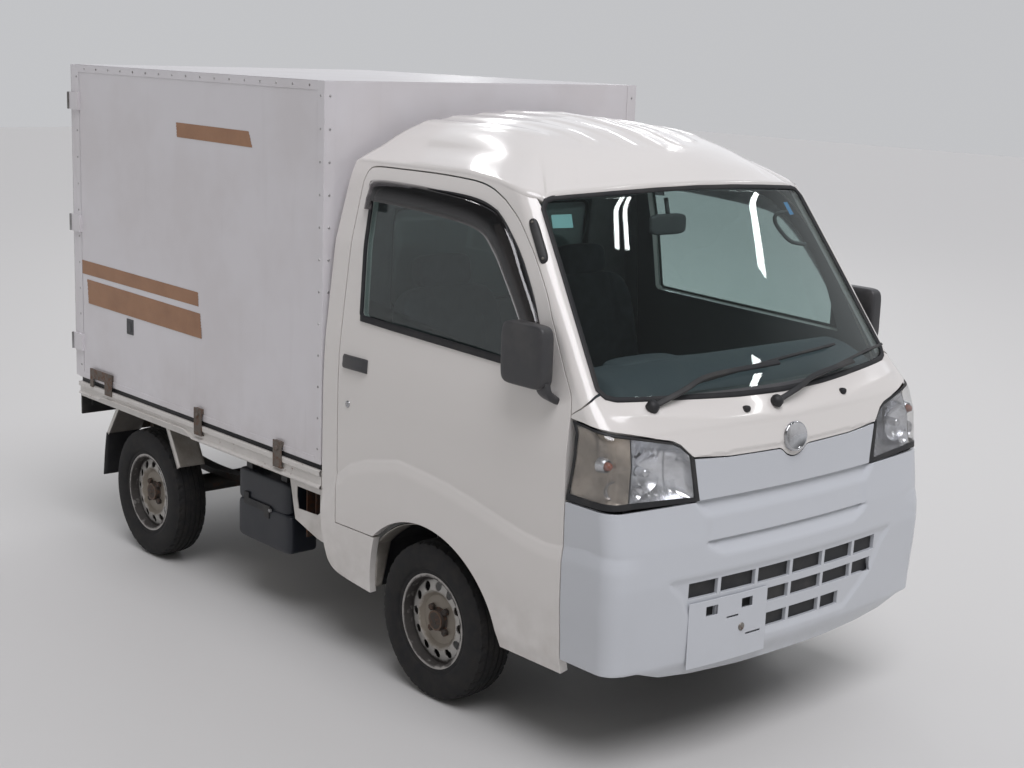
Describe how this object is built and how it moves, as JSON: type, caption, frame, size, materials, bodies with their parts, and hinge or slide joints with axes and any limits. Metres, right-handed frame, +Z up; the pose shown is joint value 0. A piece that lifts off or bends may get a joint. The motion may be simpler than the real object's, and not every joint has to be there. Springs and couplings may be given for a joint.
{
  "type": "kei truck",
  "caption": "Small cab-over truck with a high-roof cab, opening cab doors, steered front wheels and a closed box body with two hinged rear doors.",
  "frame": {"origin": "on the ground, midway between bumper and rear, on the centre line", "axes": "+X forward, +Y to the truck's left, +Z up"},
  "size_m": [3.3948, 1.603, 1.99],
  "materials": {
    "cab_paint": "gloss, slightly aged white",
    "box_panel": "satin white sheet",
    "chassis_paint": "matt black underbody paint",
    "bed_paint": "weathered white",
    "glass": "clear, slightly green",
    "lamp_lens": "clear moulded lens",
    "tail_lens": "red lens",
    "black_plastic": "grained black",
    "grey_plastic": "grained dark grey",
    "seat_fabric": "woven dark grey",
    "engine_iron": "oily casting",
    "exhaust_steel": "rusty steel",
    "wheel_steel": "silver paint, rusty at the hub",
    "tyre": "worn rubber",
    "knuckle_iron": "dirty casting",
    "frame_aluminium": "dull extrusion"
  },
  "bodies": {
    "truck": {"bed": "bed_paint", "box_floor": "frame_aluminium", "box_front": "box_panel", "box_rear_frame": "frame_aluminium", "box_roof": "box_panel", "box_side_left": "box_panel", "box_side_right": "box_panel", "bumper": "cab_paint", "cab_back": "cab_paint", "cab_floor": "cab_paint", "cab_glass": "glass", "cab_roof": "cab_paint", "cab_side_left": "cab_paint", "cab_side_right": "cab_paint", "dashboard": "grey_plastic", "engine": "engine_iron", "exhaust": "exhaust_steel", "frame": "chassis_paint", "front_panel": "cab_paint", "front_suspension": "chassis_paint", "guards": "grey_plastic", "headlamps": "lamp_lens", "propshaft": "chassis_paint", "rear_axle": "knuckle_iron", "seat_left": "seat_fabric", "seat_right": "seat_fabric", "steering_column": "black_plastic", "tail_lamps": "tail_lens", "tanks": "black_plastic"},
    "door_right": {"door_right": "cab_paint", "door_glass_right": "glass", "door_trim_right": "black_plastic"},
    "door_left": {"door_left": "cab_paint", "door_glass_left": "glass", "door_trim_left": "black_plastic"},
    "knuckle_right": {"knuckle_right": "knuckle_iron"},
    "knuckle_left": {"knuckle_left": "knuckle_iron"},
    "wheel_front_right": {"rim_front_right": "wheel_steel", "tyre_front_right": "tyre"},
    "wheel_front_left": {"rim_front_left": "wheel_steel", "tyre_front_left": "tyre"},
    "wheel_rear_right": {"rim_rear_right": "wheel_steel", "tyre_rear_right": "tyre"},
    "wheel_rear_left": {"rim_rear_left": "wheel_steel", "tyre_rear_left": "tyre"},
    "steering_wheel": {"steering_wheel": "black_plastic"},
    "box_door_right": {"box_door_right": "box_panel"},
    "box_door_left": {"box_door_left": "box_panel"}
  },
  "joints": [
    {"name": "steer_right", "type": "hinge", "parent": "truck", "child": "knuckle_right", "pos_m": [0.79, -0.56, 0.266], "axis": [0, 0, 1], "range_deg": [-32, 32]},
    {"name": "steer_left", "type": "hinge", "parent": "truck", "child": "knuckle_left", "pos_m": [0.79, 0.56, 0.266], "axis": [0, 0, 1], "range_deg": [-32, 32]},
    {"name": "steering_turn", "type": "hinge", "parent": "truck", "child": "steering_wheel", "pos_m": [1.06, -0.33, 1.05], "axis": [-0.5299, 0, 0.848], "range_deg": [-550, 550]},
    {"name": "spin_front_right", "type": "hinge", "parent": "knuckle_right", "child": "wheel_front_right", "pos_m": [0.79, -0.6525, 0.266], "axis": [0, 1, 0], "continuous": true},
    {"name": "spin_front_left", "type": "hinge", "parent": "knuckle_left", "child": "wheel_front_left", "pos_m": [0.79, 0.6525, 0.266], "axis": [0, 1, 0], "continuous": true},
    {"name": "spin_rear_right", "type": "hinge", "parent": "truck", "child": "wheel_rear_right", "pos_m": [-1.11, -0.65, 0.266], "axis": [0, 1, 0], "continuous": true},
    {"name": "spin_rear_left", "type": "hinge", "parent": "truck", "child": "wheel_rear_left", "pos_m": [-1.11, 0.65, 0.266], "axis": [0, 1, 0], "continuous": true},
    {"name": "open_door_right", "type": "hinge", "parent": "truck", "child": "door_right", "pos_m": [1.419, -0.7375, 0.9], "axis": [0, 0, 1], "range_deg": [0, 65]},
    {"name": "open_door_left", "type": "hinge", "parent": "truck", "child": "door_left", "pos_m": [1.419, 0.7375, 0.9], "axis": [0, 0, -1], "range_deg": [0, 65]},
    {"name": "open_box_door_right", "type": "hinge", "parent": "truck", "child": "box_door_right", "pos_m": [-1.687, -0.747, 1.3], "axis": [0, 0, 1], "range_deg": [0, 240]},
    {"name": "open_box_door_left", "type": "hinge", "parent": "truck", "child": "box_door_left", "pos_m": [-1.687, 0.747, 1.3], "axis": [0, 0, -1], "range_deg": [0, 240]}
  ],
  "couplings": [
    {"joint": "steer_left", "follows": "steer_right", "ratio": 1},
    {"joint": "steering_turn", "follows": "steer_right", "ratio": 17}
  ]
}
